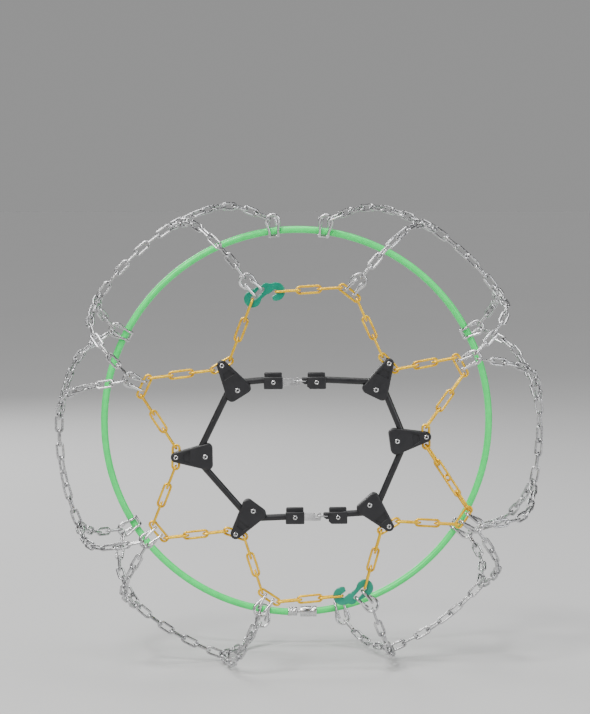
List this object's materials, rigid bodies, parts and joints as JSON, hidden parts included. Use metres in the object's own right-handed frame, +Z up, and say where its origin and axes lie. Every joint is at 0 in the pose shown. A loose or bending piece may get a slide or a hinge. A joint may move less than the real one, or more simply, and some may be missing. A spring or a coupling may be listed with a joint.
{
  "type": "tire snow chain",
  "caption": "Snow chain in its mounted shape: a net of tread chain round a tyre, an inner coated cable hoop and an outer side chain drawn tight by a ring of elastic band and housings.",
  "frame": {"origin": "centre of the wheel that the chain is mounted on, in the middle plane of its tyre", "axes": "+Y along the wheel axle towards the car, +Z up, +X to the right as the outer side is seen"},
  "size_m": [0.6568, 0.2311, 0.618],
  "materials": {
    "zinc_chain": "bright zinc plating, worn by handling",
    "zinc_hook": "bright zinc plating",
    "green_coat": "glossy bright green plastic coat",
    "plain_steel": "bright plain steel",
    "yellow_paint": "yellow coated steel",
    "teal_paint": "blue-green coated steel",
    "black_plastic": "satin black moulded plastic",
    "black_rubber": "smooth black elastic"
  },
  "bodies": {
    "chain": {"diamond_left_upper": "zinc_chain", "diamond_left_lower": "zinc_chain", "diamond_right_upper": "zinc_chain", "diamond_right_lower": "zinc_chain", "end_chains_left": "zinc_chain", "end_chains_right": "zinc_chain", "tread_centre_chains": "zinc_chain", "outer_cross_hooks": "zinc_hook", "inner_cross_hooks": "zinc_hook", "inner_cable": "green_coat", "cable_socket": "plain_steel", "end_block_rivets": "plain_steel", "band_eyes": "plain_steel", "corner_links": "yellow_paint", "closing_chains": "yellow_paint", "closing_hook_top": "teal_paint", "closing_hook_bottom": "teal_paint", "end_blocks": "black_plastic", "tension_band_left": "black_rubber", "tension_band_right": "black_rubber"},
    "corner_a": {"housing_a_front": "black_plastic", "housing_a_back": "black_plastic", "rivets_a": "plain_steel", "tip_link_a": "yellow_paint"},
    "arm_a_hook": {"arm_a_hook": "yellow_paint"},
    "arm_a_left": {"arm_a_left": "yellow_paint"},
    "corner_b": {"housing_b_front": "black_plastic", "housing_b_back": "black_plastic", "rivets_b": "plain_steel", "tip_link_b": "yellow_paint"},
    "arm_b_right": {"arm_b_right": "yellow_paint"},
    "arm_b_top": {"arm_b_top": "yellow_paint"},
    "corner_c": {"housing_c_front": "black_plastic", "housing_c_back": "black_plastic", "rivets_c": "plain_steel", "tip_link_c": "yellow_paint"},
    "arm_c_lower": {"arm_c_lower": "yellow_paint"},
    "arm_c_upper": {"arm_c_upper": "yellow_paint"},
    "corner_d": {"housing_d_front": "black_plastic", "housing_d_back": "black_plastic", "rivets_d": "plain_steel", "tip_link_d": "yellow_paint"},
    "arm_d_hook": {"arm_d_hook": "yellow_paint"},
    "arm_d_right": {"arm_d_right": "yellow_paint"},
    "corner_e": {"housing_e_front": "black_plastic", "housing_e_back": "black_plastic", "rivets_e": "plain_steel", "tip_link_e": "yellow_paint"},
    "arm_e_left": {"arm_e_left": "yellow_paint"},
    "arm_e_bottom": {"arm_e_bottom": "yellow_paint"},
    "corner_f": {"housing_f_front": "black_plastic", "housing_f_back": "black_plastic", "rivets_f": "plain_steel", "tip_link_f": "yellow_paint"},
    "arm_f_upper": {"arm_f_upper": "yellow_paint"},
    "arm_f_lower": {"arm_f_lower": "yellow_paint"},
    "band_hook_top": {"band_hook_top": "plain_steel"},
    "band_hook_bottom": {"band_hook_bottom": "plain_steel"},
    "cable_free_end": {"cable_free_end": "green_coat", "cable_end_ball": "plain_steel"}
  },
  "joints": [
    {"name": "corner_a_slide", "type": "slide", "parent": "chain", "child": "corner_a", "axis": [-0.6428, 0, 0.766], "range_m": [0, 0.004], "stiffness_N_per_m": 500, "springref_m": -0.02, "deforming": ["tension_band_left"]},
    {"name": "arm_a_hook_swing", "type": "hinge", "parent": "chain", "child": "arm_a_hook", "pos_m": [-0.06584, -0.105, 0.18311], "axis": [0, 1, 0], "range_deg": [0, 3.09]},
    {"name": "arm_a_left_swing", "type": "hinge", "parent": "chain", "child": "arm_a_left", "pos_m": [-0.20114, -0.105, 0.08042], "axis": [0, 1, 0], "range_deg": [-2.85, 0]},
    {"name": "corner_b_slide", "type": "slide", "parent": "chain", "child": "corner_b", "axis": [-0.1736, 0, 0.9848], "range_m": [0, 0.0025], "stiffness_N_per_m": 500, "springref_m": -0.02, "deforming": ["tension_band_right"]},
    {"name": "arm_b_right_swing", "type": "hinge", "parent": "chain", "child": "arm_b_right", "pos_m": [0.19742, -0.105, 0.10606], "axis": [0, 1, 0], "range_deg": [0, 1.95]},
    {"name": "arm_b_top_swing", "type": "hinge", "parent": "chain", "child": "arm_b_top", "pos_m": [0.06806, -0.105, 0.18292], "axis": [0, 1, 0], "range_deg": [-0.781, 0]},
    {"name": "corner_c_slide", "type": "slide", "parent": "chain", "child": "corner_c", "axis": [0.8829, 0, 0.4695], "range_m": [0, 0.003], "stiffness_N_per_m": 500, "springref_m": -0.02, "deforming": ["tension_band_right"]},
    {"name": "arm_c_lower_swing", "type": "hinge", "parent": "chain", "child": "arm_c_lower", "pos_m": [0.21543, -0.105, -0.09347], "axis": [0, 1, 0], "range_deg": [0, 2.33]},
    {"name": "arm_c_upper_swing", "type": "hinge", "parent": "chain", "child": "arm_c_upper", "pos_m": [0.20858, -0.105, 0.08594], "axis": [0, 1, 0], "range_deg": [-1.8, 0]},
    {"name": "corner_d_slide", "type": "slide", "parent": "chain", "child": "corner_d", "axis": [0.848, 0, -0.5299], "range_m": [0, 0.0025], "stiffness_N_per_m": 500, "springref_m": -0.02, "deforming": ["tension_band_right"]},
    {"name": "arm_d_hook_swing", "type": "hinge", "parent": "chain", "child": "arm_d_hook", "pos_m": [0.07968, -0.105, -0.19612], "axis": [0, 1, 0], "range_deg": [0, 2.24]},
    {"name": "arm_d_right_swing", "type": "hinge", "parent": "chain", "child": "arm_d_right", "pos_m": [0.20257, -0.105, -0.11253], "axis": [0, 1, 0], "range_deg": [-1.66, 0]},
    {"name": "corner_e_slide", "type": "slide", "parent": "chain", "child": "corner_e", "axis": [-0.9877, 0, -0.1564], "range_m": [0, 0.0025], "stiffness_N_per_m": 500, "springref_m": -0.02, "deforming": ["tension_band_left"]},
    {"name": "arm_e_left_swing", "type": "hinge", "parent": "chain", "child": "arm_e_left", "pos_m": [-0.18176, -0.105, -0.12794], "axis": [0, 1, 0], "range_deg": [0, 0.488]},
    {"name": "arm_e_bottom_swing", "type": "hinge", "parent": "chain", "child": "arm_e_bottom", "pos_m": [-0.05453, -0.105, -0.20057], "axis": [0, 1, 0], "range_deg": [-2.68, 0]},
    {"name": "corner_f_slide", "type": "slide", "parent": "chain", "child": "corner_f", "axis": [-0.9877, 0, -0.1564], "range_m": [0, 0.004], "stiffness_N_per_m": 500, "springref_m": -0.02, "deforming": ["tension_band_left"]},
    {"name": "arm_f_upper_swing", "type": "hinge", "parent": "chain", "child": "arm_f_upper", "pos_m": [-0.21086, -0.105, 0.05958], "axis": [0, 1, 0], "range_deg": [0, 3.32]},
    {"name": "arm_f_lower_swing", "type": "hinge", "parent": "chain", "child": "arm_f_lower", "pos_m": [-0.19624, -0.105, -0.11006], "axis": [0, 1, 0], "range_deg": [-2.85, 0]},
    {"name": "band_hook_top_swing", "type": "hinge", "parent": "chain", "child": "band_hook_top", "pos_m": [-0.0397, -0.105, 0.075], "axis": [0, 1, 0], "range_deg": [0, 55]},
    {"name": "band_hook_bottom_swing", "type": "hinge", "parent": "chain", "child": "band_hook_bottom", "pos_m": [-0.0116, -0.105, -0.1015], "axis": [0, 1, 0], "range_deg": [0, 55]},
    {"name": "cable_free_end_bend", "type": "hinge", "parent": "chain", "child": "cable_free_end", "pos_m": [-0.024, 0.111, -0.266], "axis": [0, 0, 1], "range_deg": [0, 60]}
  ],
  "couplings": [
    {"joint": "arm_a_hook_swing", "follows": "corner_a_slide", "rad_per_m": 13},
    {"joint": "arm_a_left_swing", "follows": "corner_a_slide", "rad_per_m": -12},
    {"joint": "arm_b_right_swing", "follows": "corner_b_slide", "rad_per_m": 13},
    {"joint": "arm_b_top_swing", "follows": "corner_b_slide", "rad_per_m": -5},
    {"joint": "arm_c_lower_swing", "follows": "corner_c_slide", "rad_per_m": 13},
    {"joint": "arm_c_upper_swing", "follows": "corner_c_slide", "rad_per_m": -10},
    {"joint": "arm_d_hook_swing", "follows": "corner_d_slide", "rad_per_m": 15},
    {"joint": "arm_d_right_swing", "follows": "corner_d_slide", "rad_per_m": -11},
    {"joint": "arm_e_left_swing", "follows": "corner_e_slide", "rad_per_m": 3},
    {"joint": "arm_e_bottom_swing", "follows": "corner_e_slide", "rad_per_m": -18},
    {"joint": "arm_f_upper_swing", "follows": "corner_f_slide", "rad_per_m": 14},
    {"joint": "arm_f_lower_swing", "follows": "corner_f_slide", "rad_per_m": -12}
  ]
}
